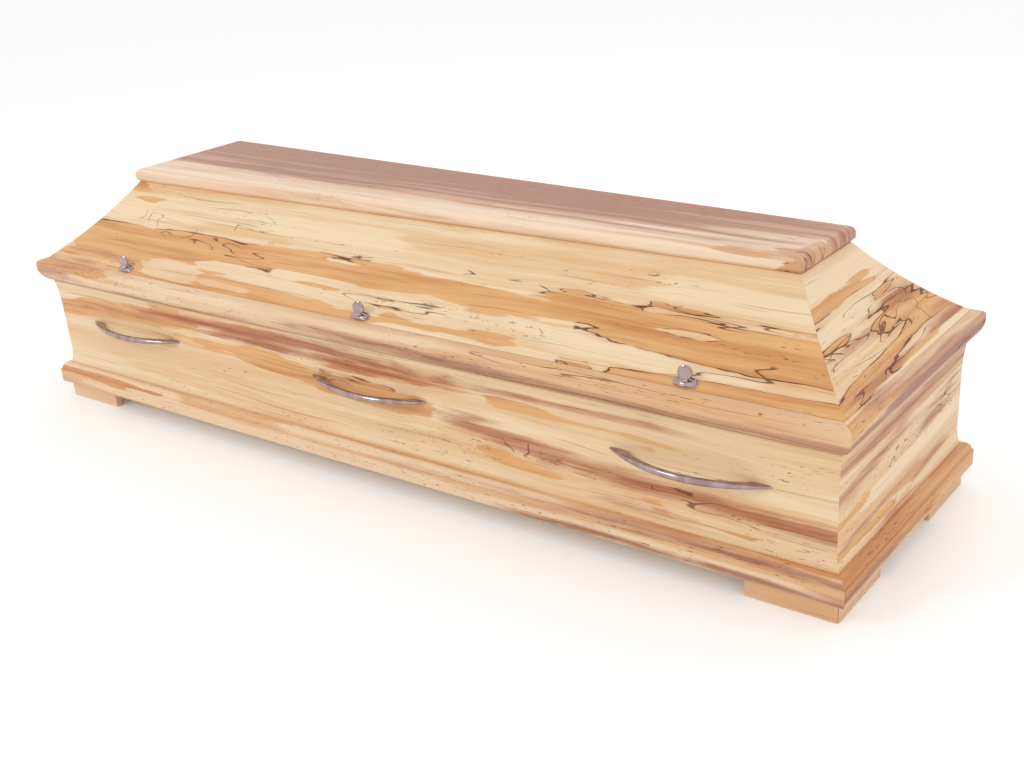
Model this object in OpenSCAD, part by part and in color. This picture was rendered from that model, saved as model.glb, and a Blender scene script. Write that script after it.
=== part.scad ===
// A solid wood coffin. The trough stands on bracket feet behind a plinth moulding. The loose lid
// has a rim moulding, four hipped and hollowed slope boards and a moulded top plank.
// Plan and lid taper towards the foot end. +X is the foot end, -Y the front, +Z up, and the
// origin is on the ground under the middle of the length.

/* [Overall] */
// Length over the lid's rim
length = 2000; // [1600:10:2400]
// Width over the rim at the head end
head_w = 720; // [600:5:870]
// Width over the rim at the foot end
foot_w = 575; // [480:5:720]

/* [Heights] */
// Height of the bracket feet
foot_h = 40; // [25:1:70]
// Height of the trough's side and end boards
wall_h = 257; // [214:1:340]
// Height of the lid's rim moulding
rim_h = 55; // [44:1:70]
// Rise of the lid's slope boards
slope_h = 155; // [120:1:200]
// Thickness of the top plank
plank_t = 30; // [26:1:45]

/* [Trough] */
// Thickness of the side and end boards at mid height
board_t = 22; // [16:1:30]
// Overhang of the rim over the top of the boards
rim_over = 22; // [14:1:30]
// Depth of the cove that hollows the boards under the rim
cove_in = 5; // [0:1:12]
// Height of that cove
cove_h = 65; // [30:1:80]
// Height of the flare above the plinth
flare_h = 38; // [20:1:60]
// Projection of that flare
flare_out = 5; // [0:1:12]
// Thickness of the floor board
floor_t = 18; // [12:1:26]
// Gap between the floor board and the boards around it
floor_gap = 0.2; // [0.1:0.1:1]

/* [Plinth moulding] */
// Height of the moulding
plinth_h = 48; // [42:1:72]
// Thickness of the moulding
plinth_t = 21; // [14:1:30]
// Height of its flat fascia
fascia_h = 32; // [14:1:38]
// Step from the fascia back to the rounded part
plinth_step = 3; // [1:1:5]
// Flat left at the top of the rounded part
plinth_flat = 4; // [2:1:7]

/* [Feet] */
// Length of each leg of a bracket foot
foot_leg = 165; // [100:5:240]
// Thickness of the foot boards
foot_t = 17; // [12:1:40]
// Distance of the feet behind the fascia
foot_back = 14; // [2:1:25]

/* [Lid] */
// Height of the rim's upright face
nose_flat = 9; // [1:1:20]
// Radius of the rim's upper edge
nose_r = 9; // [4:1:11]
// Rise of the rim's sloping ledge
ledge_rise = 3; // [1:1:6]
// Depth of that ledge in front of the slope boards
ledge = 20; // [14:1:30]
// Distance that the side slope boards come in from foot to top
side_run = 178; // [140:1:215]
// Distance that the end slope boards come in, which are steeper
end_run = 157; // [120:1:190]
// Depth of the hollow of the slope boards
slope_sag = 8; // [2:1:16]
// Thickness of the slope boards
slope_t = 19; // [14:1:26]
// Overhang of the top plank over the slope boards
plank_over = 5; // [2:1:20]
// Radius of the plank's upper edge
plank_r = 14; // [6:1:18]
// Chamfer of the plank's lower edge
plank_chamfer = 7; // [2:1:8]

/* [Handles] */
// Clear height between a handle and the cove above it
handle_drop = 16; // [2:1:40]
// Length of a handle along the wall
handle_span = 306; // [180:1:360]
// Projection of a handle from the wall
handle_out = 46; // [40:1:70]
// Diameter of the bar
handle_d = 14; // [10:1:18]
// Distance of the outer handles' middles from the ends of the rim
handle_in_end = 292; // [220:5:480]
// Shift of the handles towards the foot end
handle_shift = 5; // [-40:1:40]

/* [Lid screws] */
// Distance of the outer screws from the ends of the rim
screw_in_end = 295; // [220:5:480]
// Shift of the screws towards the foot end
screw_shift = 5; // [-40:1:40]
// Clear distance between a rosette and the foot of the slope boards
rosette_gap = 1; // [0.5:0.5:8]
// Length of a rosette
rosette_l = 46; // [30:1:50]
// Width of a rosette
rosette_w = 20; // [16:0.5:28]
// Height of a rosette's dome
rosette_h = 5; // [3.5:0.5:8]
// Thickness of a rosette at its two ends
rosette_edge = 2; // [1:0.5:3]
// Diameter of a screw's thumb plate
thumb_d = 26; // [18:1:34]
// Thickness of the thumb plate
thumb_t = 4.5; // [3:0.5:7]
// Diameter of the ball under the thumb plate
neck_d = 9; // [6:1:12]
// Height of the thumb plate's lower edge above the ball's middle
thumb_lift = 2; // [0.5:0.5:2.5]
// Turn of the thumb plates out of line with the side
thumb_turn = 5; // [-30:5:30]

/* [Hidden] */
SIDES = ["front", "back", "head", "foot"];
LONG_SIDES = ["front", "back"];
PLACES = ["head", "mid", "foot"];
CORNERS = [for (end = ["head", "foot"], side = LONG_SIDES) [end, side]];

$fn = 96;
arc_steps = 8;    // straight runs in one moulded curve
past = 20;        // how far a cutting shape runs past what it cuts
sunk = 1;         // how far a shape starts inside the surface that trims it

// levels above the ground
plinth_top_z = foot_h + plinth_h;
rim_z = foot_h + wall_h;
slope_z = rim_z + rim_h;
plank_z = slope_z + slope_h;
top_z = plank_z + plank_t;

// insets from the rim's outline, which is the widest line of the plan
wall_face = rim_over + cove_in;
wall_in = wall_face + board_t;
plinth_back = wall_face - flare_out;
fascia = plinth_back - plinth_t;
foot_face = fascia + foot_back;

// plan: the sides run in by taper for each unit of length
mid_w = (head_w + foot_w) / 2;
taper = (head_w - foot_w) / (2 * length);
taper_a = atan(taper);

// hollow of the side slope boards: one arc from the ledge to the plank
slope_chord = norm([side_run, slope_h]);
slope_r = (slope_chord * slope_chord / 4 + slope_sag * slope_sag) / (2 * slope_sag);
slope_c = [ledge + side_run / 2, slope_z + slope_h / 2]
    + (slope_r - slope_sag) * [-slope_h, side_run] / slope_chord;
deepest = slope_c.x + sqrt(pow(slope_r + slope_t, 2) - pow(slope_c.y - plank_z, 2));

// handle and screw geometry
handle_z = rim_z - cove_h - handle_drop - handle_d / 2;
bow_outer_r = (handle_span * handle_span / 4 + handle_out * handle_out) / (2 * handle_out);
screw_d = ledge + rosette_gap + rosette_w / 2;
screw_z = slope_c.y - sqrt(slope_r * slope_r - pow(screw_d - slope_c.x, 2));
screw_tilt = asin((screw_d - slope_c.x) / slope_r);
dome_h = rosette_h - rosette_edge;
dome_r = (rosette_l * rosette_l / 4 + dome_h * dome_h) / (2 * dome_h);
ball_z = max(rosette_h, neck_d / 2);

// A corner of the plan inside the rim's outline, by d from the sides and end_d from the end.
// s.x is -1 at the head and s.y is -1 at the front.
function corner(s, d, end_d) = let (x = s.x * (length / 2 - end_d))
    [x, s.y * (mid_w / 2 - x * taper - d / cos(taper_a))];
function corners_of(side) = side == "front" ? [[-1, -1], [1, -1]]
    : side == "back" ? [[1, 1], [-1, 1]]
    : side == "head" ? [[-1, 1], [-1, -1]]
    : [[1, -1], [1, 1]];
function is_end(side) = side == "head" || side == "foot";
// How far an end comes in where the sides come in by d: the hip runs straight in plan.
function hip_inset(d) = ledge + (d - ledge) * end_run / side_run;

function arc(c, r, from, to) =
    [for (i = [0:arc_steps]) let (a = from + (to - from) * i / arc_steps) c + r * [cos(a), sin(a)]];
// The side boards' slope of radius r, between two heights.
function slope_arc(r, z0, z1) = [for (i = [0:arc_steps])
    let (z = z0 + (z1 - z0) * i / arc_steps)
        [slope_c.x + sqrt(r * r - pow(slope_c.y - z, 2)), z]];
// A hollow that leaves the upright at [d, z0] and comes out by reach at z1.
function flare(d, reach, z0, z1) =
    [for (i = [0:arc_steps]) let (u = i / arc_steps) [d - reach * u * u, z0 + (z1 - z0) * u]];
function reversed(list) = [for (i = [len(list) - 1:-1:0]) list[i]];

// Sections: [inset from the rim's outline, height]
function trough_section() = concat(
    [[wall_in, foot_h], [plinth_back, foot_h]],
    reversed(flare(wall_face, flare_out, plinth_top_z + flare_h, plinth_top_z)),
    flare(wall_face, cove_in, rim_z - cove_h, rim_z),
    [[wall_in, rim_z]]);
function plinth_section() = let (
        round_z = foot_h + fascia_h,
        round_d = fascia + plinth_step,
        rise = plinth_h - fascia_h,
        run = plinth_t - plinth_step - plinth_flat)
    concat(
        [[plinth_back, foot_h], [fascia, foot_h], [fascia, round_z]],
        [for (i = [0:arc_steps]) let (a = 90 * i / arc_steps)
            [round_d + run * (1 - cos(a)), round_z + rise * sin(a)]],
        [[plinth_back, plinth_top_z]]);
function foot_section() = [
    [foot_face, 0], [foot_face + foot_t, 0], [foot_face + foot_t, foot_h], [foot_face, foot_h]];
function rim_section() = let (
        nose_drop = rim_h - ledge_rise - nose_r - nose_flat,
        under_r = (rim_over * rim_over + nose_drop * nose_drop) / (2 * rim_over),
        under_a = asin(nose_drop / under_r),
        nose_top = slope_z - ledge_rise)
    concat(
        arc([under_r, rim_z + nose_drop], under_r, 180 + under_a, 180),
        arc([nose_r, nose_top - nose_r], nose_r, 180, 90),
        [[ledge, slope_z], [wall_in, slope_z], [wall_in, rim_z]]);
function slope_section(side) = [
    for (p = concat(slope_arc(slope_r, slope_z, plank_z), slope_arc(slope_r + slope_t, plank_z, slope_z)))
        [is_end(side) ? hip_inset(p.x) : p.x, p.y]];
function plank_section(side) = let (edge = ledge + (is_end(side) ? end_run : side_run) - plank_over)
    concat(
        [[length, plank_z], [edge + plank_chamfer, plank_z], [edge, plank_z + plank_chamfer]],
        arc([edge + plank_r, top_z - plank_r], plank_r, 180, 90),
        [[length, top_z]]);

// Puts local X along a side, local Y inwards from the rim's outline and local Z up.
module on_side(side) {
    if (side == "back")
        mirror([0, 1, 0]) on_side("front") children();
    else if (side == "front")
        translate([0, -mid_w / 2, 0]) rotate(taper_a) children();
    else if (side == "foot")
        translate([length / 2, 0, 0]) rotate(90) children();
    else
        translate([-length / 2, 0, 0]) rotate(-90) children();
}

// A section run along a side, longer than the side.
module run(side, section)
    on_side(side) translate([-length, 0, 0]) rotate([90, 0, 90])
        linear_extrude(2 * length) polygon(section);

// A board of the given section, mitred at both of its corners. On a hip the mitre turns with it.
module mitred(side, section, hip = false) {
    ends = corners_of(side);
    outer = -past;
    inner = deepest + sunk;
    intersection() {
        run(side, section);
        linear_extrude(top_z) polygon([
            for (p = [[0, outer], [1, outer], [1, inner], [0, inner]])
                corner(ends[p[0]], p[1], hip ? hip_inset(p[1]) : p[1])]);
    }
}

module trough_board(side) color("burlywood") mitred(side, trough_section());
module plinth_board(side) color("peru") mitred(side, plinth_section());
module rim_board(side) color("tan") mitred(side, rim_section());
module slope_board(side) color("wheat") mitred(side, slope_section(side), hip = true);

module floor_board()
    color("burlywood") translate([0, 0, foot_h]) linear_extrude(floor_t)
        polygon([for (s = [[-1, -1], [1, -1], [1, 1], [-1, 1]])
            corner(s, wall_in + floor_gap, wall_in + floor_gap)]);

// One board whose edge moulding runs round all four sides.
module top_plank() color("rosybrown") intersection() {
    run("front", plank_section("front"));
    run("back", plank_section("back"));
    run("head", plank_section("head"));
    run("foot", plank_section("foot"));
}

function foot_name(c, leg) = str("bracket_", c[0], "_", c[1], "_", leg);
// One of the two mitred boards of a bracket foot.
module foot_board(end, side, leg) {
    s = [end == "foot" ? 1 : -1, side == "back" ? 1 : -1];
    c = corner(s, foot_face, foot_face);
    reach = foot_leg + past;
    color("goldenrod") intersection() {
        mitred(leg == "side" ? side : end, foot_section());
        translate([c.x - s.x * foot_leg, c.y - s.y * foot_leg, 0])
            translate([s.x > 0 ? 0 : -reach, s.y > 0 ? 0 : -reach, 0]) cube([reach, reach, foot_h]);
    }
}

// A place along a side: the outer ones keep their distance from the ends.
function place_x(place, in_end, shift) =
    shift + (length / 2 - in_end) * (search([place], PLACES)[0] - 1);

// A bow of round bar, cut flat where it meets the wall.
module handle(side, place)
    color("silver") on_side(side)
        translate([place_x(place, handle_in_end, handle_shift), wall_face, handle_z]) intersection() {
            translate([0, bow_outer_r - handle_out, 0]) rotate_extrude()
                translate([bow_outer_r - handle_d / 2, 0]) circle(d = handle_d);
            translate([-handle_span, -2 * handle_out, -handle_d])
                cube([2 * handle_span, 2 * handle_out, 2 * handle_d]);
        }

// Puts local Z square to the slope board at a screw.
module at_screw(side, place)
    on_side(side) translate([place_x(place, screw_in_end, screw_shift), screw_d, screw_z])
        rotate([screw_tilt, 0, 0]) children();

module rosette_dome() intersection() {
    translate([0, 0, -sunk]) linear_extrude(rosette_h + 2 * sunk) {
        square([rosette_l - rosette_w, rosette_w], center = true);
        for (s = [-1, 1]) translate([s * (rosette_l - rosette_w) / 2, 0]) circle(d = rosette_w);
    }
    translate([0, 0, rosette_h - dome_r]) sphere(r = dome_r);
}

module rosette(side, place) color("silver") difference() {
    at_screw(side, place) rosette_dome();
    run(side, slope_section(side));
    run(side, rim_section());
}

// A flat round thumb plate on a ball that sits in the rosette: the screw itself stands upright.
module screw(side, place) color("silver") at_screw(side, place) difference() {
    translate([0, 0, ball_z]) rotate([-screw_tilt, 0, 0]) rotate(thumb_turn) {
        sphere(d = neck_d);
        translate([0, 0, thumb_lift + thumb_d / 2]) rotate([90, 0, 0])
            cylinder(d = thumb_d, h = thumb_t, center = true);
    }
    rosette_dome();
}

floor_board();  // trough_floor
top_plank();  // lid_top
for (s = SIDES) {
    trough_board(s);
    plinth_board(s);
    rim_board(s);
    slope_board(s);
}
for (c = CORNERS, leg = ["side", "end"])
    foot_board(c[0], c[1], leg);
for (s = LONG_SIDES, p = PLACES) {
    handle(s, p);
    rosette(s, p);
    screw(s, p);
}
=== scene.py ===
import itertools
import math

import bmesh
import bpy
import numpy as np
from mathutils import Matrix, Vector


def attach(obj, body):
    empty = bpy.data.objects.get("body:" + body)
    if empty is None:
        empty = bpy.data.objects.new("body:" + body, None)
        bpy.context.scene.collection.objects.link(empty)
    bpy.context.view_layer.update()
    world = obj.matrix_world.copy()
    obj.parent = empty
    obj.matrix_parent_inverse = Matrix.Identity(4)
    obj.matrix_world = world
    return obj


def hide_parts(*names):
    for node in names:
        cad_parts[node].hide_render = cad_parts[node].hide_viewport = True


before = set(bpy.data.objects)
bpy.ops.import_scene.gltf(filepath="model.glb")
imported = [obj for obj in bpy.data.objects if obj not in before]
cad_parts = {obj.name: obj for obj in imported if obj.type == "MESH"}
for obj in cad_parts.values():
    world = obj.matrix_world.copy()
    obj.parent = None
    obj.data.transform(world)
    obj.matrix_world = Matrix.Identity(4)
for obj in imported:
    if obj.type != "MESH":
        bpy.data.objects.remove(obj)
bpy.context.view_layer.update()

# ---------------------------------------------------------------- sizes, mm
# These are part.scad's own values, so that each piece lies on its CAD node.
LENGTH, HEAD_W, FOOT_W = 2000, 720, 575
FOOT_H, WALL_H, RIM_H, SLOPE_H, PLANK_T = 40, 257, 55, 155, 30
RIM_OVER, BOARD_T, SLOPE_T, FLOOR_T, FLOOR_GAP = 22, 22, 19, 18, 0.2
COVE_IN, COVE_H, FLARE_OUT, FLARE_H = 5, 65, 5, 38
PLINTH_H, PLINTH_T, FASCIA_H, PLINTH_STEP, PLINTH_FLAT = 48, 21, 32, 3, 4
FOOT_LEG, FOOT_T, FOOT_BACK = 165, 17, 14
NOSE_R, NOSE_FLAT, LEDGE_RISE = 9, 9, 3
LEDGE, SIDE_RUN, END_RUN, SAG = 20, 178, 157, 8
PLANK_OVER, PLANK_R, PLANK_CHAMFER = 5, 14, 7
HANDLE_DROP, HANDLE_SPAN, HANDLE_OUT, HANDLE_D = 16, 306, 46, 14
HANDLE_IN_END, HANDLE_SHIFT = 292, 5
SCREW_IN_END, SCREW_SHIFT = 295, 5
ROSETTE_L, ROSETTE_W, ROSETTE_H, ROSETTE_EDGE, ROSETTE_GAP = 46, 20, 5, 2, 1
THUMB_D, THUMB_T, THUMB_LIFT, THUMB_TURN, BALL_D = 26, 4.5, 2, 5, 9

# levels above the ground
PLINTH_Z = FOOT_H + PLINTH_H
RIM_Z = FOOT_H + WALL_H
SLOPE_Z = RIM_Z + RIM_H
PLANK_Z = SLOPE_Z + SLOPE_H
TOP_Z = PLANK_Z + PLANK_T
HANDLE_Z = RIM_Z - COVE_H - HANDLE_DROP - HANDLE_D / 2

# insets from the rim's outline
WALL_FACE = RIM_OVER + COVE_IN
WALL_IN = WALL_FACE + BOARD_T
PLINTH_BACK = WALL_FACE - FLARE_OUT
FASCIA = PLINTH_BACK - PLINTH_T
FOOT_FACE = FASCIA + FOOT_BACK
SCREW_D = LEDGE + ROSETTE_GAP + ROSETTE_W / 2

# the plan's taper, and the circle that the slope boards' faces lie on
MID_W = (HEAD_W + FOOT_W) / 2
TAPER = (HEAD_W - FOOT_W) / (2 * LENGTH)
TAPER_A = math.atan(TAPER)
CHORD = math.hypot(SIDE_RUN, SLOPE_H)
SLOPE_R = (CHORD**2 / 4 + SAG**2) / (2 * SAG)
SLOPE_MID = np.array([LEDGE + SIDE_RUN / 2, SLOPE_Z + SLOPE_H / 2])
SLOPE_C = SLOPE_MID + (SLOPE_R - SAG) * np.array([-SLOPE_H, SIDE_RUN]) / CHORD

PLACES = ("head", "mid", "foot")
CORNERS = ((-1, -1), (1, -1), (1, 1), (-1, 1))
SIDES = {
    "front": ((-1, -1), (1, -1)),
    "back": ((-1, 1), (1, 1)),
    "head": ((-1, -1), (-1, 1)),
    "foot": ((1, -1), (1, 1)),
}


def corner(sx, sy, d, e):
    """A corner of the plan, d inside the long sides' outline and e inside the end's."""
    x = sx * (LENGTH / 2 - e)
    return np.array([x, sy * (MID_W / 2 - x * TAPER - d / math.cos(TAPER_A))])


def hip(d):
    """How far an end comes in where the sides come in by d."""
    return LEDGE + (d - LEDGE) * END_RUN / SIDE_RUN


def place_x(place, in_end, shift):
    """A fitting's place along a side."""
    return shift + (LENGTH / 2 - in_end) * (PLACES.index(place) - 1)


def arc(cx, cy, r, start, stop, n):
    a = np.radians(np.linspace(start, stop, n))
    return [(cx + r * math.cos(x), cy + r * math.sin(x)) for x in a]


def slope_line(r, z0, z1, n):
    """The slope boards' face of radius r between two heights."""
    return [(SLOPE_C[0] + math.sqrt(r * r - (SLOPE_C[1] - z) ** 2), z) for z in np.linspace(z0, z1, n)]


def sweep_out(z0, z1, reach, n):
    """A hollow that leaves the wall at z0 and comes out by reach at z1."""
    return [(WALL_FACE - reach * u * u, z0 + (z1 - z0) * u) for u in np.linspace(0, 1, n)]


def plinth_face():
    round_d, round_z = FASCIA + PLINTH_STEP, FOOT_H + FASCIA_H
    run, rise = PLINTH_T - PLINTH_STEP - PLINTH_FLAT, PLINTH_H - FASCIA_H
    turn = np.linspace(0, math.pi / 2, 13)[1:]
    rounded = [(round_d + run * (1 - math.cos(a)), round_z + rise * math.sin(a)) for a in turn]
    return [(FASCIA, FOOT_H), (FASCIA, round_z), (round_d, round_z)] + rounded


def rim_face():
    drop = RIM_H - LEDGE_RISE - NOSE_R - NOSE_FLAT
    under_r = (RIM_OVER**2 + drop**2) / (2 * RIM_OVER)
    under = arc(under_r, RIM_Z + drop, under_r, 180 + math.degrees(math.asin(drop / under_r)), 180, 12)
    return under + arc(NOSE_R, RIM_Z + drop + NOSE_FLAT, NOSE_R, 180, 90, 7) + [(LEDGE, SLOPE_Z)]


def trough_face():
    flare = sweep_out(PLINTH_Z + FLARE_H, PLINTH_Z, FLARE_OUT, 9)
    return [(PLINTH_BACK, FOOT_H)] + flare[::-1] + sweep_out(RIM_Z - COVE_H, RIM_Z, COVE_IN, 11)


# Sections, [inset, height]: the outer face from its foot up, and then the rest.
SECTIONS = {
    "trough": (trough_face(), [(WALL_IN, RIM_Z), (WALL_IN, FOOT_H)]),
    "plinth": (plinth_face(), [(PLINTH_BACK, PLINTH_Z), (PLINTH_BACK, FOOT_H)]),
    "lid_rim": (rim_face(), [(WALL_IN, SLOPE_Z), (WALL_IN, RIM_Z)]),
    "lid_slope": (
        slope_line(SLOPE_R, SLOPE_Z, PLANK_Z, 28),
        slope_line(SLOPE_R + SLOPE_T, PLANK_Z, SLOPE_Z, 10),
    ),
}


GENTLE = 0.4  # radians: a smaller turn needs no softening
MOST_CUT = 0.45  # of an edge


def softened(points, r):
    """A closed outline with its sharp corners worked off, as sanded wood has them."""
    p, out = np.array(points, float), []
    for i in range(len(p)):
        a, b, c = p[i - 1], p[i], p[(i + 1) % len(p)]
        la, lc = np.linalg.norm(a - b), np.linalg.norm(c - b)
        u, w = (a - b) / la, (c - b) / lc
        turn = math.pi - math.acos(float(np.clip(u @ w, -1, 1)))
        if turn < GENTLE:
            out.append(b)
            continue
        cut = min(r * math.tan(turn / 2), MOST_CUT * la, MOST_CUT * lc)
        for k in (0, 0.35, 0.65, 1):
            out.append((1 - k) ** 2 * (b + u * cut) + 2 * k * (1 - k) * b + k * k * (b + w * cut))
    return np.array(out)


def divided(p, pitch, closed=True):
    """The outline with points no more than a pitch apart."""
    out = [] if closed else [p[0]]
    for i in range(len(p) if closed else len(p) - 1):
        a, b = p[i], p[(i + 1) % len(p)]
        n = max(1, math.ceil(np.linalg.norm(b - a) / pitch))
        out += [a + (b - a) * k / n for k in (range(n) if closed else range(1, n + 1))]
    return np.array(out)


def drawn_in(p, by):
    """The outline moved inwards by a little along its own normals."""
    t = np.roll(p, -1, 0) - np.roll(p, 1, 0)
    n = np.stack([-t[:, 1], t[:, 0]], 1) / np.maximum(np.linalg.norm(t, axis=1), 1e-9)[:, None]
    area = 0.5 * np.sum(p[:, 0] * np.roll(p[:, 1], -1) - np.roll(p[:, 0], -1) * p[:, 1])
    return p + n * (by if area > 0 else -by)


# ---------------------------------------------------------------- the wood's figure
# Patches on each board, "kind s0 t0 s1 t1 r" in mm: from (s0, t0) to (s1, t1), half-width r.
# s is along the grain and t up the face.
# s runs with +X on the long boards and with +Y on the ends.
# o orange heart, c cream tongue cut into it, m mauve brown, l lightest cream, z black zone lines,
# q fine squiggles, f dark flecks.
FIGURE = {
    "lid_slope_front": """
        o -870 88 -600 94 32 / o -600 92 -200 98 40 / o -200 100 60 108 30 / o 60 114 250 100 22
        o 250 98 430 108 25 / o 430 114 560 118 36 / o 560 110 760 90 44 / o 760 88 990 88 46
        o 600 0 700 4 20 / o 700 2 980 12 23 / o 470 0 520 4 10 / o -950 30 -880 22 8
        m -1000 6 -820 14 9 / o -850 58 -560 54 34 / m -880 40 -760 36 7 / o -620 34 -500 30 32
        o -520 46 -240 40 44 / o -240 40 0 30 36 / o -760 14 -560 10 14 / o 0 26 330 18 11
        o -815 229 -800 228 5 / o -760 196 -740 195 6 / o -960 120 -930 116 9 / c 600 136 1000 134 6
        c 660 104 705 103 3 / c -600 34 -545 30 15 / c -460 66 -330 60 5 / c -270 46 -150 40 7
        c -350 46 -290 40 6 / c -240 76 -60 78 6 / c -90 40 20 34 8 / c -420 22 -330 16 5
        c 470 150 560 146 8 / c 300 120 380 118 5 / c -60 56 140 44 8 / l 380 60 760 34 16
        l -300 176 -60 186 20 / l 640 176 960 170 22 / l -640 32 -500 24 5 / z -680 132 -300 96 20
        z -170 140 -60 138 14 / z 560 14 980 36 26 / z 640 104 720 103 14 / z 470 2 520 8 16
        z 480 76 980 50 14 / z -900 124 -740 120 16 / z 200 140 960 134 10 / z -120 60 180 50 12
        z -870 50 -820 44 12 / q -660 130 -400 112 16 / q -760 160 -650 150 16 / q -170 140 -80 140 8
        q -450 165 -300 140 12 / f -600 190 0 170 30 / f 0 60 400 40 24""",
    "lid_slope_foot": """
        o -200 148 -60 158 17 / o -60 158 70 164 13 / o 70 166 140 162 6 / o 20 78 70 84 20
        o 90 82 150 74 22 / m 150 84 240 74 8 / o 150 62 250 50 20 / o -240 16 -110 22 12
        o -110 26 60 46 11 / o 60 50 200 60 7 / o -200 96 -120 92 8 / o 60 120 100 122 6
        o -60 8 120 12 9 / m -190 92 -20 76 7 / m 90 100 150 92 12 / m -160 4 -50 16 9
        m 170 30 260 24 12 / c 100 40 150 36 7 / l -260 190 220 190 22 / l -220 116 60 128 14
        z -250 20 120 50 30 / z -20 86 260 66 46 / z -230 134 160 140 16 / z -200 92 0 76 20
        q -20 84 240 66 30 / q -200 96 -60 84 12 / f -200 60 200 130 60""",
    "trough_front": """
        o -1000 190 -780 206 26 / m -960 200 -760 214 12 / o -780 206 -540 224 22 / m -700 216 -520 228 9
        o -540 232 -330 236 9 / m -520 230 -400 228 12 / m -400 226 -60 226 19 / m -60 222 190 224 19
        o -300 214 140 210 9 / m 190 228 640 234 9 / o -560 182 -330 178 8 / o -330 174 -100 162 16
        o -100 160 130 158 22 / o 600 200 720 190 12 / o 330 204 640 190 13 / m 250 146 452 120 19
        m 452 117 740 112 15 / m 740 111 990 104 19 / o 290 100 430 84 11 / m 560 70 700 66 5
        o 640 76 820 66 8 / z 640 116 820 92 12 / z 900 88 945 82 8 / z -520 98 -440 96 5
        z -120 174 60 176 8 / q 640 116 800 98 10 / f -250 90 300 110 40 / f 500 210 900 200 30
        c -460 200 -120 204 7 / c -300 246 -160 246 5 / q -120 176 -40 176 8 / q 300 140 420 120 10
        m 700 30 940 16 7 / l 620 150 980 146 12 / l -460 202 -120 206 6""",
    "trough_foot": """
        m -290 228 290 232 16 / m -290 168 -140 180 11 / m -140 184 -20 200 8 / m 120 172 200 184 14
        o -270 126 -150 134 6 / o 100 110 200 116 5 / m -210 84 40 98 4 / m -60 60 160 84 3
        f -280 120 280 140 90 / q -120 150 20 160 12 / q 100 150 230 170 20 / m -240 30 -60 44 4
        o -260 70 -60 72 8 / l -260 206 260 204 6 / z 120 176 200 184 12 / l -120 120 240 140 14""",
    "lid_rim_front": """
        m -1000 34 -950 38 20 / o -960 62 -820 62 16 / m -960 60 -860 60 8 / l -910 28 -560 32 12
        m -160 28 400 22 13 / m 400 18 1000 22 14 / m -400 12 0 16 8 / l -860 52 -300 58 9
        f -900 34 1000 34 40 / z 300 58 700 60 6 / m -700 8 -300 10 6""",
    "lid_rim_foot": """
        m -280 24 -60 30 12 / m -60 36 320 36 26 / m 20 60 300 58 14 / o -280 58 -40 56 10
        f -280 40 280 40 40 / m -160 64 40 60 10 / l -290 66 -180 66 8 / z 60 50 300 50 16""",
    "plinth_front": """
        m 100 40 700 44 5 / m 560 44 1000 40 9 / o 500 58 1000 58 8 / m 400 6 1000 6 8
        l -1000 46 -620 40 16 / l -200 46 420 50 10 / m -1000 6 -900 6 6 / o -1000 36 -640 34 8
        f -1000 30 1000 30 40 / l -900 14 900 14 13""",
    "plinth_foot": """
        o -300 42 300 44 22 / m 200 54 300 54 8 / m -300 8 -100 8 6 / f -300 20 300 20 20
        l -260 60 -60 60 4""",
    "lid_top": """
        m -1000 100 -300 84 158 / m -300 84 260 70 138 / m 260 92 560 84 108 / m 560 130 900 112 56
        m 100 -62 700 -72 8 / m 480 -30 760 -40 12 / m 560 46 840 40 12 / o 700 -110 900 -120 10
        c 160 60 420 58 5 / l 200 -40 560 -46 6 / o -1000 -26 -500 -34 22 / o -500 -36 120 -62 18
        l 480 10 760 0 9 / l -900 -136 900 -128 14 / f -900 100 900 60 50 / z 822 -130 860 20 12
        q 822 -170 860 10 34 / o 816 -150 860 40 16""",
    "lid_slope_back": """
        o -900 60 -560 74 24 / o -560 76 -160 66 16 / o 60 120 480 112 24 / o 480 112 760 92 16
        o 700 24 980 20 14 / o -300 168 60 172 8 / m -980 16 -600 22 8 / m 200 40 520 34 7
        z 60 126 500 116 22 / q -500 120 -200 110 10 / f -400 120 400 100 60 / c 150 118 330 116 5""",
    "lid_slope_head": """
        o -190 40 60 52 18 / o 60 120 200 112 10 / m -120 96 90 104 7 / z -180 44 90 56 20
        f -200 100 200 100 50 / o -240 150 -100 156 8""",
    "trough_back": """
        o -980 222 -420 214 18 / m -420 216 120 226 14 / o -300 128 260 120 17 / m 300 100 760 110 9
        o 600 206 900 196 12 / f -700 150 500 150 50 / z 420 180 620 168 10 / o -900 90 -700 84 8""",
    "trough_head": """
        o -300 210 40 222 16 / m 30 222 300 216 12 / m -180 110 180 118 5 / f -300 160 300 160 60
        o 60 84 300 80 8""",
    "lid_rim_back": """
        m -960 26 -200 30 13 / m 240 40 1000 36 15 / o -200 60 300 62 8 / f -1000 34 1000 34 30""",
    "lid_rim_head": "m -300 30 60 34 14 / o 60 58 300 58 8 / f -300 34 300 34 30",
    "plinth_back": "o -980 46 -300 50 12 / m 0 40 700 42 7 / f -1000 30 1000 30 30",
    "plinth_head": "o -280 44 300 44 14 / m -200 10 160 10 5 / f -300 30 300 30 20",
}
UNIT = 40.0  # mm to one unit of a signed field
FAR_OUT = -1.5  # the fields' value away from every patch
# how drawn out a patch's ends are
STRETCH = {"o": 2.6, "c": 3.0, "m": 4.0, "z": 1.0, "q": 1.0, "f": 1.0, "l": 4.0}


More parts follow.
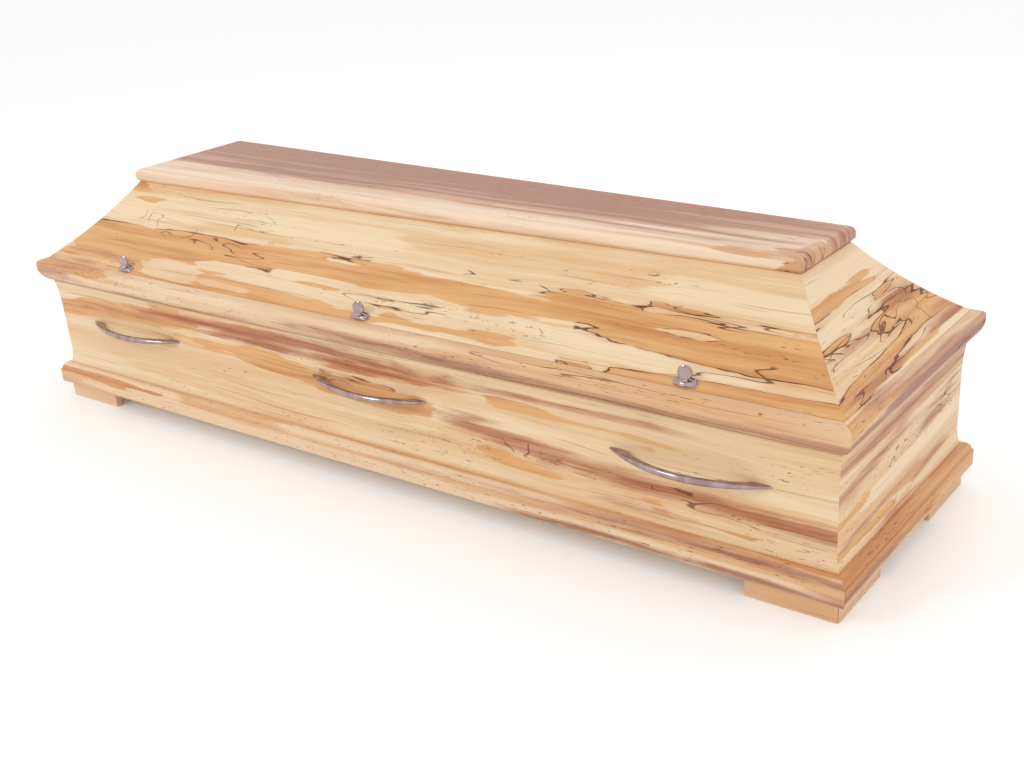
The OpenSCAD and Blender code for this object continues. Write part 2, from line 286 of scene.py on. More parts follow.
def figure(board, s, t):
    """Signed fields of the board's patches at points (s, t): positive inside."""
    fields = {k: np.full(len(s), FAR_OUT) for k in STRETCH}
    for item in FIGURE.get(board, "").replace("\n", "/").split("/"):
        if not item.strip():
            continue
        kind, *numbers = item.split()
        s0, t0, s1, t1, r = (float(x) for x in numbers)
        g = STRETCH[kind]
        ax, bx = s0 / g, s1 / g
        dx, dy = bx - ax, t1 - t0
        u = np.clip(((s / g - ax) * dx + (t - t0) * dy) / max(dx * dx + dy * dy, 1e-9), 0, 1)
        gap = np.hypot(s / g - ax - u * dx, t - t0 - u * dy)
        fields[kind] = np.maximum(fields[kind], (r - gap) / UNIT)
    fields["o"] = np.minimum(fields["o"], -fields["c"])
    return [np.stack([fields[k] for k in names], 1) for names in ("omz", "qfl")]


# ---------------------------------------------------------------- meshes
STAGE = bpy.context.scene.collection
SEED_STEP = 3.7  # metres between two boards in the wood's pattern


def new_object(name, verts_mm, faces, mat, smooth_angle=32):
    me = bpy.data.meshes.new(name)
    me.from_pydata((np.asarray(verts_mm, float) * 0.001).tolist(), [], faces)
    me.validate()
    bm = bmesh.new()
    bm.from_mesh(me)
    bmesh.ops.recalc_face_normals(bm, faces=bm.faces)
    bm.to_mesh(me)
    bm.free()
    me.polygons.foreach_set("use_smooth", [True] * len(me.polygons))
    me.set_sharp_from_angle(angle=math.radians(smooth_angle))
    me.materials.append(mat)
    ob = bpy.data.objects.new(name, me)
    STAGE.objects.link(ob)
    return ob


def stands_for(ob, node):
    """The piece rides on the one body and replaces its CAD node."""
    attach(ob, "root")
    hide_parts(node)


def tube(rings, n):
    """The faces of rings of n points each, joined into a closed tube with flat caps."""
    side = itertools.product(range(rings - 1), range(n))
    faces = [(j * n + k, (j + 1) * n + k, (j + 1) * n + (k + 1) % n, j * n + (k + 1) % n) for j, k in side]
    return faces + [tuple(range(n)), tuple((rings - 1) * n + k for k in range(n))]


def put(me, name, values):
    a = me.attributes.new(name, "FLOAT_VECTOR", "POINT")
    a.data.foreach_set("vector", np.asarray(values, np.float32).ravel())


def dress(ob, board, s, t, seed, depth=0.0, shade=0.0):
    """The grain's own coordinates in metres, the board's figure, and the painted shade at a joint, as
    attributes.
    """
    s, t = np.asarray(s, float), np.asarray(t, float)
    third = np.full(len(s), seed * SEED_STEP) + depth
    put(ob.data, "grain", np.stack([s * 0.001, t * 0.001, third], 1))
    patches, marks = figure(board, s, t)
    put(ob.data, "figure", patches)
    put(ob.data, "marks", marks)
    # painted shade: the darkening along the joint under the lid, carried to the shader
    put(ob.data, "painted_joint_shade", np.stack([np.full(len(s), 1.0) * shade] * 3, 1))


def bake_map(ob, u_of, v_of, length, height, rows):
    """A UV map of the board's length in rows, one above the other, for a texture bake."""
    me = ob.data
    vi = np.empty(len(me.loops), np.int32)
    me.loops.foreach_get("vertex_index", vi)
    start = np.empty(len(me.polygons), np.int32)
    count = np.empty(len(me.polygons), np.int32)
    me.polygons.foreach_get("loop_start", start)
    me.polygons.foreach_get("loop_total", count)
    u, v = u_of[vi], v_of[vi]
    face = np.repeat(np.arange(len(start)), count)
    mean_u = np.add.reduceat(u, start) / count
    lo = np.minimum.reduceat(v, start)
    wraps = np.maximum.reduceat(v, start) - lo > 0.5 * height
    v = np.where(wraps[face] & (v < 0.5 * height), v + height, v)
    row = np.clip((mean_u / length * rows).astype(int), 0, rows - 1)[face]
    uu = (u / length * rows - row) * 0.97 + 0.015
    vv = (row + 0.02 + 0.94 * v / height) / rows
    layer = me.uv_layers.new(name="OFBake")
    layer.uv.foreach_set("vector", np.stack([uu.clip(0, 1), vv.clip(0, 1)], 1).astype(np.float32).ravel())


EASE, BOARD_PITCH, STEP = 1.3, 7.0, 8.5  # a board's softened edge, and its mesh across and along
GROOVE_W, GROOVE_D = 1.1, 0.55  # the fine groove at a mitre, on each board
END_LEN = 620  # an end board's length on the bake's map
HIDDEN = 0.2  # how much the hidden faces are squeezed on that map
JOINT_SHADE_H = 1.6  # how far the painted shade in the joint under the lid fades


def board(kind, side, mat, slot, seed):
    """A mitred board: the section lofted between its two corners."""
    name = f"{kind}_{side}"
    outer, rest = SECTIONS[kind]
    end = side in ("head", "foot")
    inset = hip if kind == "lid_slope" else (lambda d: d)
    p = divided(softened(outer + rest, EASE), BOARD_PITCH)
    q = drawn_in(p, GROOVE_D)
    shape = np.array([(inset(d), z) for d, z in p]) if end else p
    t = np.r_[0, np.cumsum(np.linalg.norm(np.diff(shape, axis=0), axis=1))]
    length = END_LEN if end else LENGTH
    groove = GROOVE_W / length
    fractions = np.r_[0, groove, np.linspace(0, 1, round(length / STEP) + 1)[1:-1], 1 - groove, 1]
    a, b = SIDES[side]
    verts = []
    for f in fractions:
        for d, z in q if f in (0, 1) else p:
            at = corner(*a, d, inset(d)) * (1 - f) + corner(*b, d, inset(d)) * f
            verts.append((at[0], at[1], z))
    points = np.array(verts)
    k, m = len(p), len(fractions)
    ob = new_object(f"{name}_wood", verts, tube(m, k), mat)
    # painted shade: a dark band along the joint between the lid's rim and the trough, where the gap's shadow
    # falls
    near = np.abs(points[:, 2] - RIM_Z) if kind in ("trough", "lid_rim") else np.full(len(verts), 99.0)
    shade = np.clip(1.2 - near / JOINT_SHADE_H, 0, 1)
    dress(ob, name, points[:, 1 if end else 0], np.tile(t, m), seed, shade=shade)

    face = np.array([(inset(d), z) for d, z in outer] if end else outer)
    face_len = np.linalg.norm(np.diff(face, axis=0), axis=1).sum()
    last = t[np.searchsorted(t, face_len) - 1]
    squeezed = np.where(t <= last, t, last + (t - last) * HIDDEN)
    total = squeezed[-1] + 2.0
    rows = max(1, round(math.sqrt(length / total * 0.8)))
    bake_map(ob, np.repeat(fractions * length, k), np.tile(squeezed, m), length, total, rows)
    stands_for(ob, name)


PLANK_GRID = (200, 44)  # cells along and across
PLANK_LEVEL = 30  # where the plank's faces are flat


def top_plank(mat, seed):
    """One board: its moulded edge runs round as rings, and a grid closes it above and below."""
    moulded = arc(PLANK_R, TOP_Z - PLANK_R, PLANK_R, 180, 90, 9)
    edge = [(PLANK_CHAMFER, PLANK_Z), (0, PLANK_Z + PLANK_CHAMFER)] + moulded
    pts = softened([(PLANK_LEVEL, PLANK_Z)] + edge + [(PLANK_LEVEL, TOP_Z)], 1.0)
    pts = divided(np.array([p for p in pts if p[0] < PLANK_LEVEL - 1]), 6.0, closed=False)
    side0, end0 = LEDGE + SIDE_RUN - PLANK_OVER, LEDGE + END_RUN - PLANK_OVER
    nx, ny = PLANK_GRID
    verts, s, t = [], [], []

    def add(x, y, z, drop):
        verts.append((x, y, z))
        s.append(x)
        t.append(y + math.copysign(drop, y))
        return len(verts) - 1

    rings, around = [], 2 * (nx + ny)
    run = np.r_[0, np.cumsum(np.linalg.norm(np.diff(pts, axis=0), axis=1))]
    for (d, z), r in zip(pts, run):
        cs = [corner(sx, sy, side0 + d, end0 + d) for sx, sy in CORNERS]
        ring = []
        for i, n in enumerate((nx, ny, nx, ny)):
            drop = run[-1] - r if n == nx else 0.0
            for k in range(n):
                at = cs[i] + (cs[(i + 1) % 4] - cs[i]) * k / n
                ring.append(add(at[0], at[1], z, drop))
        rings.append(ring)
    faces = []
    for a, b in zip(rings, rings[1:]):
        faces += [(a[i], a[(i + 1) % around], b[(i + 1) % around], b[i]) for i in range(around)]
    for ring in (rings[0], rings[-1]):
        z = verts[ring[0]][2]
        grid = [[None] * (ny + 1) for _ in range(nx + 1)]
        for i in range(nx + 1):
            grid[i][0] = ring[i]
            grid[i][ny] = ring[(2 * nx + ny - i) % around]
        for j in range(ny + 1):
            grid[nx][j] = ring[nx + j]
            grid[0][j] = ring[(around - j) % around]
        for i in range(1, nx):
            a, b = np.array(verts[grid[i][0]]), np.array(verts[grid[i][ny]])
            for j in range(1, ny):
                at = a + (b - a) * j / ny
                grid[i][j] = add(at[0], at[1], z, 0.0)
        cells = itertools.product(range(nx), range(ny))
        faces += [(grid[i][j], grid[i + 1][j], grid[i + 1][j + 1], grid[i][j + 1]) for i, j in cells]
    ob = new_object("lid_top_wood", verts, faces, mat)
    depth = (TOP_Z - np.array(verts)[:, 2]) * 0.009
    dress(ob, "lid_top", s, t, seed, depth)
    stands_for(ob, "lid_top")


def slab(node, outline, z0, z1, seed, mat, along_x=True):
    """A small mitred or plain board from its plan outline, with softened edges all round."""
    p = divided(softened(outline, 2.0), 12.0)
    rings = [(1.2, z0), (0.3, z0 + 0.5), (0, z0 + 1.4), (0, (z0 + z1) / 2), (0, z1 - 1.0), (0.7, z1)]
    verts = [(x, y, z) for by, z in rings for x, y in (drawn_in(p, by) if by else p)]
    ob = new_object(f"{node}_wood", verts, tube(len(rings), len(p)), mat)
    v = np.array(verts)
    s, across = (v[:, 0], v[:, 1]) if along_x else (v[:, 1], v[:, 0])
    dress(ob, node, s, v[:, 2] + 0.7 * across, seed, across * 0.012)
    stands_for(ob, node)


def floor_board(mat, seed):
    inset = WALL_IN + FLOOR_GAP
    outline = [corner(sx, sy, inset, inset) for sx, sy in CORNERS]
    slab("trough_floor", outline, FOOT_H, FOOT_H + FLOOR_T, seed, mat)


def feet(mat, first_seed):
    """Four bracket feet, each of a side and an end board mitred together."""
    face, back, reach = FOOT_FACE, FOOT_FACE + FOOT_T, FOOT_FACE + FOOT_LEG
    ends = itertools.product((("head", -1), ("foot", 1)), (("front", -1), ("back", 1)))
    for n, ((end, sx), (side, sy)) in enumerate(ends):
        node = f"bracket_{end}_{side}"
        seed = first_seed + 2 * n
        outer, inner = corner(sx, sy, face, face), corner(sx, sy, back, back)
        leg = [outer, corner(sx, sy, face, reach), corner(sx, sy, back, reach), inner]
        slab(f"{node}_side", leg, 0, FOOT_H, seed, mat)
        y_end = outer[1] - sy * FOOT_LEG
        leg = [outer, inner, np.array([inner[0], y_end]), np.array([outer[0], y_end])]
        slab(f"{node}_end", leg, 0, FOOT_H, seed + 1, mat, along_x=False)


# ---------------------------------------------------------------- fittings
def on_side(side, x, d, z):
    """The CAD's own placing: local X along a long side, Y inwards, Z up."""
    turned_in = Matrix.Translation((0, -MID_W / 2, 0)) @ Matrix.Rotation(TAPER_A, 4, "Z")
    m = turned_in @ Matrix.Translation((x, d, z))
    return (Matrix.Scale(-1, 4, (0, 1, 0)) @ m) if side == "back" else m


def placed(m, points):
    return [tuple(m @ Vector(p)) for p in points]


def circle(n):
    return [2 * math.pi * k / n for k in range(n)]


HANDLE_RINGS, HANDLE_AROUND = 96, 32
HANDLE_SKIN = 0.2  # how far the bar stays inside the CAD's bow
HANDLE_MID_DEEP, HANDLE_END_DEEP = 12.5, 20


def handle(side, place, mat):
    """A bow bar, fuller in height at its middle and drawn out broad and thin towards the wall."""
    bow_r = (HANDLE_SPAN**2 / 4 + HANDLE_OUT**2) / (2 * HANDLE_OUT)
    skin_r, cy = bow_r - HANDLE_SKIN, bow_r - HANDLE_OUT
    verts = []
    for f in np.linspace(-1, 1, HANDLE_RINGS + 1):
        deep = HANDLE_MID_DEEP + (HANDLE_END_DEEP - HANDLE_MID_DEEP) * f * f
        tall = (HANDLE_D - 0.6) * (1 - 0.5 * abs(f) ** 2.4)
        for b in circle(HANDLE_AROUND):
            c = math.copysign(abs(math.cos(b)) ** 0.9, math.cos(b))
            at_wall = skin_r - HANDLE_END_DEEP / 2 * (1 - c)
            a = f * math.acos(cy / at_wall)
            r = skin_r - deep / 2 * (1 - c)
            y = cy - r * math.cos(a)
            verts.append((r * math.sin(a), min(y, 0.0), tall / 2 * math.sin(b)))
    m = on_side(side, place_x(place, HANDLE_IN_END, HANDLE_SHIFT), WALL_FACE, HANDLE_Z)
    faces = tube(HANDLE_RINGS + 1, HANDLE_AROUND)
    ob = new_object(f"handle_{side}_{place}_bar", placed(m, verts), faces, mat, 50)
    stands_for(ob, f"handle_{side}_{place}")


def turned(profile, n):
    """A profile of [radius, height] turned round Z, from a bottom point to a top point."""
    verts = [(r * math.cos(a), r * math.sin(a), z) for r, z in profile for a in circle(n)]
    return verts, tube(len(profile), n)


# The rosette's rings, [share of its half-width, share of the dome's height].
ROSETTE_RINGS = (
    (0.99, 0.0), (1, 0.0), (1, 0.45), (0.98, 0.72), (0.94, 0.84), (0.89, 0.80), (0.85, 0.62),
    (0.81, 0.50), (0.77, 0.55), (0.70, 0.74), (0.60, 0.90), (0.48, 0.98), (0.34, 1.0),
)
# Half the thumb plate's profile, [share of its radius, share of half its thickness]; its rim is raised.
THUMB_HALF = ((0.40, 0.48), (0.70, 0.55), (0.82, 0.85), (0.90, 1), (0.97, 0.75), (1, 0.2))
THUMB_EYE = (0.6, 0.45)  # the middle of that profile, [mm, share of half its thickness]


def rosette(name, m, mat):
    """A domed oval plate."""
    half, r = (ROSETTE_L - ROSETTE_W) / 2, ROSETTE_W / 2
    rise = ROSETTE_H - ROSETTE_EDGE
    dome_r = ((ROSETTE_L / 2) ** 2 + rise**2) / (2 * rise)
    verts, n = [], 64
    for share, height in ROSETTE_RINGS:
        for a in circle(n):
            x, y = r * share * math.cos(a), r * share * math.sin(a)
            f = math.hypot(x, y)
            drawn_out = half * min(1, abs(x) / f * 1.6) * min(1.0, f / r)
            px = x + math.copysign(drawn_out, x)
            dome = ROSETTE_H - dome_r + math.sqrt(max(dome_r**2 - px * px - y * y, 0))
            verts.append((px, y, height * dome))
    ob = new_object(f"{name}_plate", placed(m, verts), tube(len(ROSETTE_RINGS), n), mat, 45)
    stands_for(ob, name)


def thumb_screw(name, m, mat):
    """It stands upright: a ball in the rosette, and on it the round thumb plate."""
    ball = [(BALL_D / 2 * math.cos(a), BALL_D / 2 * math.sin(a)) for a in np.linspace(-1.2, 1.2, 15)]
    ball, ball_faces = turned(ball, 28)
    r, half_t = THUMB_D / 2, THUMB_T / 2
    profile = [(THUMB_EYE[0], -half_t * THUMB_EYE[1])] + [(r * a, -half_t * b) for a, b in THUMB_HALF]
    profile += [(a, -b) for a, b in profile[::-1]]
    plate, plate_faces = turned(profile, 56)
    upright = [(x, z, y + THUMB_LIFT + r) for x, y, z in plate]
    faces = ball_faces + [tuple(i + len(ball) for i in f) for f in plate_faces]
    ob = new_object(f"{name}_thumb", placed(m, ball + upright), faces, mat, 40)
    stands_for(ob, name)


def lid_screw(side, place, mat):
    """A rosette on the slope board's hollow face, and the screw that stands in it."""
    tilt = math.asin((SCREW_D - SLOPE_C[0]) / SLOPE_R)
    z = SLOPE_C[1] - math.sqrt(SLOPE_R**2 - (SCREW_D - SLOPE_C[0]) ** 2)
    x = place_x(place, SCREW_IN_END, SCREW_SHIFT)
    m = on_side(side, x, SCREW_D, z) @ Matrix.Rotation(tilt, 4, "X")
    rosette(f"rosette_{side}_{place}", m, mat)
    upright = Matrix.Translation((0, 0, ROSETTE_H)) @ Matrix.Rotation(-tilt, 4, "X")
    turn = Matrix.Rotation(math.radians(THUMB_TURN), 4, "Z")
    thumb_screw(f"screw_{side}_{place}", m @ upright @ turn, mat)


# ---------------------------------------------------------------- materials
def srgb(*rgb):
    """A colour from its sRGB values of 0 to 255."""
    return tuple((c / 255 / 12.92 if c <= 10 else ((c / 255 + 0.055) / 1.055) ** 2.4) for c in rgb) + (1.0,)


class Graph:
    """Short names for building a node tree."""

    def __init__(self, mat):
        mat.use_nodes = True
        self.t = mat.node_tree
        self.t.nodes.clear()

    def node(self, kind, **props):
        n = self.t.nodes.new(kind)
        for k, v in props.items():
            setattr(n, k, v)
        return n

    def set(self, socket, value):
        if hasattr(value, "is_output"):
            self.t.links.new(value, socket)
        else:
            socket.default_value = value

    def math(self, op, *args):
        n = self.node("ShaderNodeMath", operation=op)
        for s, v in zip(n.inputs, args):
            self.set(s, v)
        return n.outputs[0]

    def add(self, a, b):
        return self.math("ADD", a, b)

    def times(self, a, b):
        return self.math("MULTIPLY", a, b)

    def off(self, v, level):
        """How far a value is from a level."""
        return self.math("ABSOLUTE", self.math("SUBTRACT", v, level))

    def vec(self, op, *args):
        n = self.node("ShaderNodeVectorMath", operation=op)
        for s, v in zip(n.inputs, args):
            self.set(s, v)
        return n.outputs[0]

    def attribute(self, name):
        n = self.node("ShaderNodeAttribute", attribute_type="GEOMETRY", attribute_name=name)
        return n.outputs["Vector"]

    def parts(self, v):
        n = self.node("ShaderNodeSeparateXYZ")
        self.set(n.inputs[0], v)
        return n.outputs

    def noise(self, at, scale, detail=2.0, rough=0.5, twist=0.0, colour=False):
        n = self.node("ShaderNodeTexNoise")
        self.set(n.inputs["Vector"], self.vec("MULTIPLY", at, (*scale, 1.0)))
        n.inputs["Scale"].default_value = 1.0
        n.inputs["Detail"].default_value = detail
        n.inputs["Roughness"].default_value = rough
        n.inputs["Distortion"].default_value = twist
        return n.outputs["Color" if colour else "Fac"]

    def swing(self, at, scale, detail, rough):
        """Noise about zero."""
        return self.math("SUBTRACT", self.noise(at, scale, detail, rough), 0.5)

    def warped(self, at, scale, reach):
        """The place moved by a coloured noise."""
        by = self.vec("SUBTRACT", self.noise(at, scale, 2, 0.5, colour=True), (0.5, 0.5, 0.5))
        return self.vec("ADD", at, self.vec("MULTIPLY", by, (*reach, 0.0)))

    def ramp(self, v, lo, hi, a=0.0, b=1.0, smooth=True):
        n = self.node("ShaderNodeMapRange", interpolation_type="SMOOTHSTEP" if smooth else "LINEAR")
        for s, x in zip(n.inputs, (v, lo, hi, a, b)):
            self.set(s, x)
        return n.outputs[0]

    def mix(self, f, a, b):
        n = self.node("ShaderNodeMix", data_type="RGBA")
        self.set(n.inputs[0], f)
        self.set(n.inputs[6], a)
        self.set(n.inputs[7], b)
        return n.outputs[2]

    def bump(self, shader, height, strength, distance):
        b = self.node("ShaderNodeBump")
        b.inputs["Strength"].default_value = strength
        b.inputs["Distance"].default_value = distance
        self.set(b.inputs["Height"], height)
        self.set(shader.inputs["Normal"], b.outputs[0])

    def surface(self, shader):
        out = self.node("ShaderNodeOutputMaterial")
        self.set(out.inputs["Surface"], shader.outputs[0])


LINE_BROWN = srgb(92, 38, 14)
WOODS = {
    "board_wood": dict(
        cream=srgb(240, 214, 178), tan=srgb(226, 188, 144), orange=srgb(224, 172, 114),
        orange_deep=srgb(200, 134, 76), mauve=srgb(196, 140, 106), mauve_deep=srgb(164, 94, 60),
    ),
    "moulding_wood": dict(
        cream=srgb(238, 208, 174), tan=srgb(222, 180, 138), orange=srgb(220, 166, 114),
        orange_deep=srgb(196, 130, 78), mauve=srgb(196, 146, 118), mauve_deep=srgb(156, 102, 78), tone=0.03,
    ),
    "plank_wood": dict(
        cream=srgb(244, 218, 190), tan=srgb(226, 190, 158), orange=srgb(214, 166, 126),
        orange_deep=srgb(192, 140, 104), mauve=srgb(199, 148, 123), mauve_deep=srgb(164, 109, 86), tone=0.02,
    ),
}


def zone_lines(g, at, at2, v, patches):
    """Dark lines along the orange's edge, and long thin ones that wander; with the stain beside them."""
    where = g.add(patches[2], g.times(g.swing(at, (10, 26), 2, 0.5), 1.6))
    where = g.ramp(where, -0.15, 0.12)
    thick = g.ramp(g.noise(at, (12, 30), 1, 0.5), 0.35, 0.65, 0.018, 0.062)
    from_edge = g.math("ABSOLUTE", v)
    rim = g.times(g.ramp(from_edge, g.times(thick, 0.45), thick, 1.0, 0.0), where)
    wander = g.off(g.noise(at2, (2.3, 23), 2, 0.45), 0.5)
    wander = g.times(g.ramp(wander, 0.0015, 0.0065, 1.0, 0.0), where)
    stain = g.times(g.ramp(from_edge, 0.0, 0.26, 0.35, 0.0), where)
    return g.math("MAXIMUM", rim, g.times(wander, 0.9)), stain


def squiggles(g, at, at3, marks):
    """Fine closed loops."""
    loops = g.noise(at3, (15, 38), 0.6, 0.4, 0.7)
    ring = g.ramp(g.off(loops, 0.52), 0.010, 0.022, 1.0, 0.0)
    near = g.add(marks[0], g.times(g.swing(at, (13, 40), 2, 0.5), 1.2))
    return g.times(ring, g.ramp(near, -0.05, 0.12))


def flecks(g, at, at2, at3, marks):
    """Short dark flecks in loose clusters, and faint hairs along the grain."""
    dash = g.ramp(g.noise(at3, (55, 420), 1.5, 0.5), 0.655, 0.70)
    cluster = g.add(g.noise(at, (4, 22), 2, 0.5), g.times(g.ramp(marks[1], -0.2, 0.4), 0.10))
    dash = g.times(dash, g.times(g.ramp(cluster, 0.55, 0.66), 0.8))
    hair = g.times(g.ramp(g.noise(at2, (3, 230), 2, 0.5), 0.64, 0.72), 0.34)
    return g.math("MAXIMUM", dash, hair)


def wood(name, cream, tan, orange, orange_deep, mauve, mauve_deep, tone=0.0):
    """Spalted beech under clear satin lacquer."""
    mat = bpy.data.materials.new(name)
    g = Graph(mat)
    at = g.attribute("grain")
    patches, marks = g.parts(g.attribute("figure")), g.parts(g.attribute("marks"))
    at2 = g.warped(at, (2.2, 11), (0.10, 0.035))
    at3 = g.warped(at2, (14, 60), (0.016, 0.007))

    # growth layers and fibre, drawn out along the grain
    layers = g.noise(at2, (0.9, 34), 4, 0.62)
    broad = g.noise(at2, (0.8, 7.5), 3, 0.55)
    fibre = g.noise(at2, (9, 620), 3, 0.6)
    pores = g.noise(at, (120, 1500), 1, 0.5)
    body = g.ramp(g.add(g.times(layers, 0.55), g.times(broad, 0.55)), 0.42 - tone, 0.70 - tone)
    colour = g.mix(body, cream, tan)

    # soft tan fields and sharper streaks that every board has
    field = g.ramp(g.noise(at2, (1.4, 15), 3, 0.6), 0.50, 0.60)
    colour = g.mix(g.times(field, 0.42), colour, orange)
    streak = g.ramp(g.noise(at3, (1.5, 62), 3, 0.62), 0.54, 0.66)
    colour = g.mix(g.times(streak, 0.50), colour, orange)

    # lightest cream
    light = g.add(marks[2], g.times(g.swing(at2, (2, 40), 3, 0.6), 1.2))
    colour = g.mix(g.times(g.ramp(light, -0.10, 0.15), 0.85), colour, cream)

    # orange fields with flame edges
    edge = g.swing(at2, (3.4, 24), 2, 0.5)
    fine_edge = g.swing(at3, (16, 85), 2, 0.5)
    flame = g.swing(at2, (2.2, 74), 1.5, 0.5)
    rough_edge = g.add(g.times(fine_edge, 0.22), g.times(flame, 0.85))
    v = g.add(patches[0], g.add(g.times(edge, 1.25), rough_edge))
    deep = g.add(g.noise(at2, (1.3, 30), 4, 0.65), g.times(patches[0], 0.08))
    heart = g.mix(g.ramp(deep, 0.42, 0.70), orange, orange_deep)
    colour = g.mix(g.times(g.ramp(v, -0.03, 0.06), 0.94), colour, heart)

    # mauve brown, softer at its sides
    soft_edge = g.add(g.times(g.swing(at2, (2.2, 60), 3, 0.6), 2.0), g.times(fine_edge, 0.6))
    shade = g.ramp(g.add(patches[1], soft_edge), -0.30, 0.42)
    rich = g.add(g.noise(at3, (1.6, 70), 3, 0.6), g.times(patches[1], 0.08))
    colour = g.mix(g.times(shade, 0.92), colour, g.mix(g.ramp(rich, 0.42, 0.64), mauve, mauve_deep))

    # the dark marks, over the fibre's light and dark
    zone, stain = zone_lines(g, at, at2, v, patches)
    ring = squiggles(g, at, at3, marks)
    dark = g.math("MAXIMUM", g.math("MAXIMUM", zone, g.times(ring, 0.85)), flecks(g, at, at2, at3, marks))
    colour = g.mix(stain, colour, orange_deep)
    grain = g.add(g.times(fibre, 0.75), g.times(pores, 0.25))
    n = g.node("ShaderNodeVectorMath", operation="SCALE")
    g.set(n.inputs[0], colour)
    g.set(n.inputs["Scale"], g.ramp(grain, 0.30, 0.70, 0.92, 1.055, smooth=False))
    colour = g.mix(g.times(dark, 0.9), n.outputs[0], LINE_BROWN)
    # painted shade: the dark line in the joint under the lid, mixed in as line brown
    colour = g.mix(g.times(g.parts(g.attribute("painted_joint_shade"))[0], 0.75), colour, LINE_BROWN)

    p = g.node("ShaderNodeBsdfPrincipled")
    g.set(p.inputs["Base Color"], colour)
    rough = g.add(fibre, g.times(dark, 0.3))
    g.set(p.inputs["Roughness"], g.ramp(rough, 0.3, 0.9, 0.34, 0.52, smooth=False))
    p.inputs["Specular IOR Level"].default_value = 0.25
    p.inputs["Coat Weight"].default_value = 0.05
    p.inputs["Coat Roughness"].default_value = 0.25
    height = g.math("SUBTRACT", g.add(fibre, g.times(pores, 0.4)), g.times(dark, 0.5))
    g.bump(p, height, 0.35, 0.0006)
    g.surface(p)
    return mat


def satin_metal(name):
    """Satin chrome, a little clouded and brushed."""
    mat = bpy.data.materials.new(name)
    g = Graph(mat)
    at = g.node("ShaderNodeTexCoord").outputs["Object"]
    cloud = g.noise(at, (60, 60), 3, 0.55)
    brush = g.noise(at, (900, 240), 2, 0.6)
    p = g.node("ShaderNodeBsdfPrincipled")
    g.set(p.inputs["Base Color"], g.mix(g.ramp(cloud, 0.35, 0.65), srgb(160, 138, 136), srgb(184, 164, 162)))
    p.inputs["Metallic"].default_value = 1.0
    rough = g.add(g.times(cloud, 0.5), g.times(brush, 0.5))
    g.set(p.inputs["Roughness"], g.ramp(rough, 0.3, 0.7, 0.11, 0.18, smooth=False))
    g.bump(p, brush, 0.05, 0.0001)
    g.surface(p)
    return mat


MATERIALS = {name: wood(name, **colours) for name, colours in WOODS.items()}
METAL = satin_metal("satin_chrome")

# ---------------------------------------------------------------- the object
KINDS = {
    "trough": "board_wood",
    "lid_slope": "board_wood",
    "plinth": "moulding_wood",
    "lid_rim": "moulding_wood",
}
for seed, (side, (kind, slot)) in enumerate(itertools.product(SIDES, KINDS.items()), 1):
    board(kind, side, MATERIALS[slot], slot, seed)
top_plank(MATERIALS["plank_wood"], 31)
feet(MATERIALS["moulding_wood"], 41)
floor_board(MATERIALS["board_wood"], 50)
for side, place in itertools.product(("front", "back"), PLACES):
    handle(side, place, METAL)
    lid_screw(side, place, METAL)


# ---------------------------------------------------------------- stage, light, camera
def white_floor(reach):
    """A white floor that takes the shadow, and glows a little for the camera only."""
    me = bpy.data.meshes.new("floor")
    outline = [(sx * reach, sy * reach, 0) for sx, sy in CORNERS]
    me.from_pydata(outline, [], [(0, 1, 2, 3)])
    floor = bpy.data.objects.new("floor", me)
    STAGE.objects.link(floor)
    mat = bpy.data.materials.new("pale_floor")
    g = Graph(mat)
    p = g.node("ShaderNodeBsdfDiffuse")
    p.inputs["Color"].default_value = (0.98, 0.98, 0.98, 1)
    glow = g.node("ShaderNodeEmission")
    g.set(glow.inputs["Strength"], g.times(g.node("ShaderNodeLightPath").outputs["Is Camera Ray"], 0.11))
    both = g.node("ShaderNodeAddShader")
    g.set(both.inputs[0], p.outputs[0])
    g.set(both.inputs[1], glow.outputs[0])
    g.surface(both)
    me.materials.append(mat)


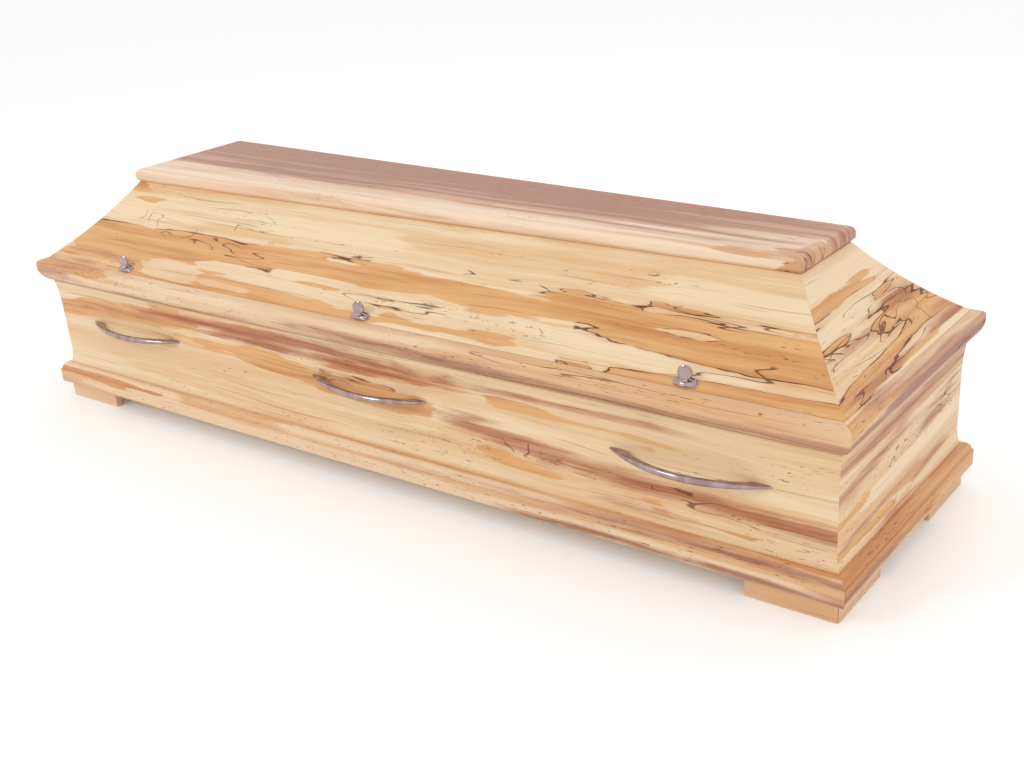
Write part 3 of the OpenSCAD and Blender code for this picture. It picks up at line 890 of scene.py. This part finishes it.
def white_world(lighting):
    """White where it is seen, straight or in a reflection, and a little dimmer as a light."""
    world = bpy.data.worlds.new("studio")
    bpy.context.scene.world = world
    g = Graph(world)
    rays = g.node("ShaderNodeLightPath").outputs
    seen = g.math("MAXIMUM", rays["Is Camera Ray"], rays["Is Glossy Ray"])
    seen = g.math("MAXIMUM", seen, rays["Is Transmission Ray"])
    background = g.node("ShaderNodeBackground")
    background.inputs["Color"].default_value = (1, 1, 1, 1)
    g.set(background.inputs["Strength"], g.ramp(seen, 0, 1, lighting, 1.0, smooth=False))
    out = g.node("ShaderNodeOutputWorld")
    g.set(out.inputs["Surface"], background.outputs[0])


def area(name, at, to, size, watts):
    light = bpy.data.lights.new(name, "AREA")
    light.shape = "DISK"
    light.size = size
    light.energy = watts
    ob = bpy.data.objects.new(name, light)
    ob.location = at
    ob.rotation_euler = (Vector(to) - Vector(at)).to_track_quat("-Z", "Y").to_euler()
    STAGE.objects.link(ob)


def camera(at, azimuth, elevation, roll, lens):
    """The photo's camera, turned by its azimuth from -Y towards +X."""
    az, el, roll = (math.radians(a) for a in (azimuth, elevation, roll))
    back = Vector((math.sin(az) * math.cos(el), -math.cos(az) * math.cos(el), math.sin(el)))
    right = Vector((math.cos(az), math.sin(az), 0))
    up = back.cross(right)
    c, s = math.cos(roll), math.sin(roll)
    cam = bpy.data.cameras.new("camera")
    cam.lens, cam.sensor_width = lens, 36
    ob = bpy.data.objects.new("camera", cam)
    m = Matrix((right * c + up * s, up * c - right * s, back)).transposed().to_4x4()
    m.translation = at
    ob.matrix_world = m
    STAGE.objects.link(ob)
    bpy.context.scene.camera = ob


white_floor(30)
white_world(0.88)
area("key", (-1.6, -3.4, 2.6), (0, 0, 0.25), 1.0, 26)
area("fill", (3.6, -1.2, 1.9), (0.6, 0, 0.25), 0.8, 12)
area("rear", (0.5, 3.2, 2.4), (0, 0, 0.3), 2.6, 16)
camera((1.6616, -1.8621, 1.1759), 39.5, 23.43, -4.32, 43.97)
bpy.context.scene.view_settings.view_transform = "Standard"
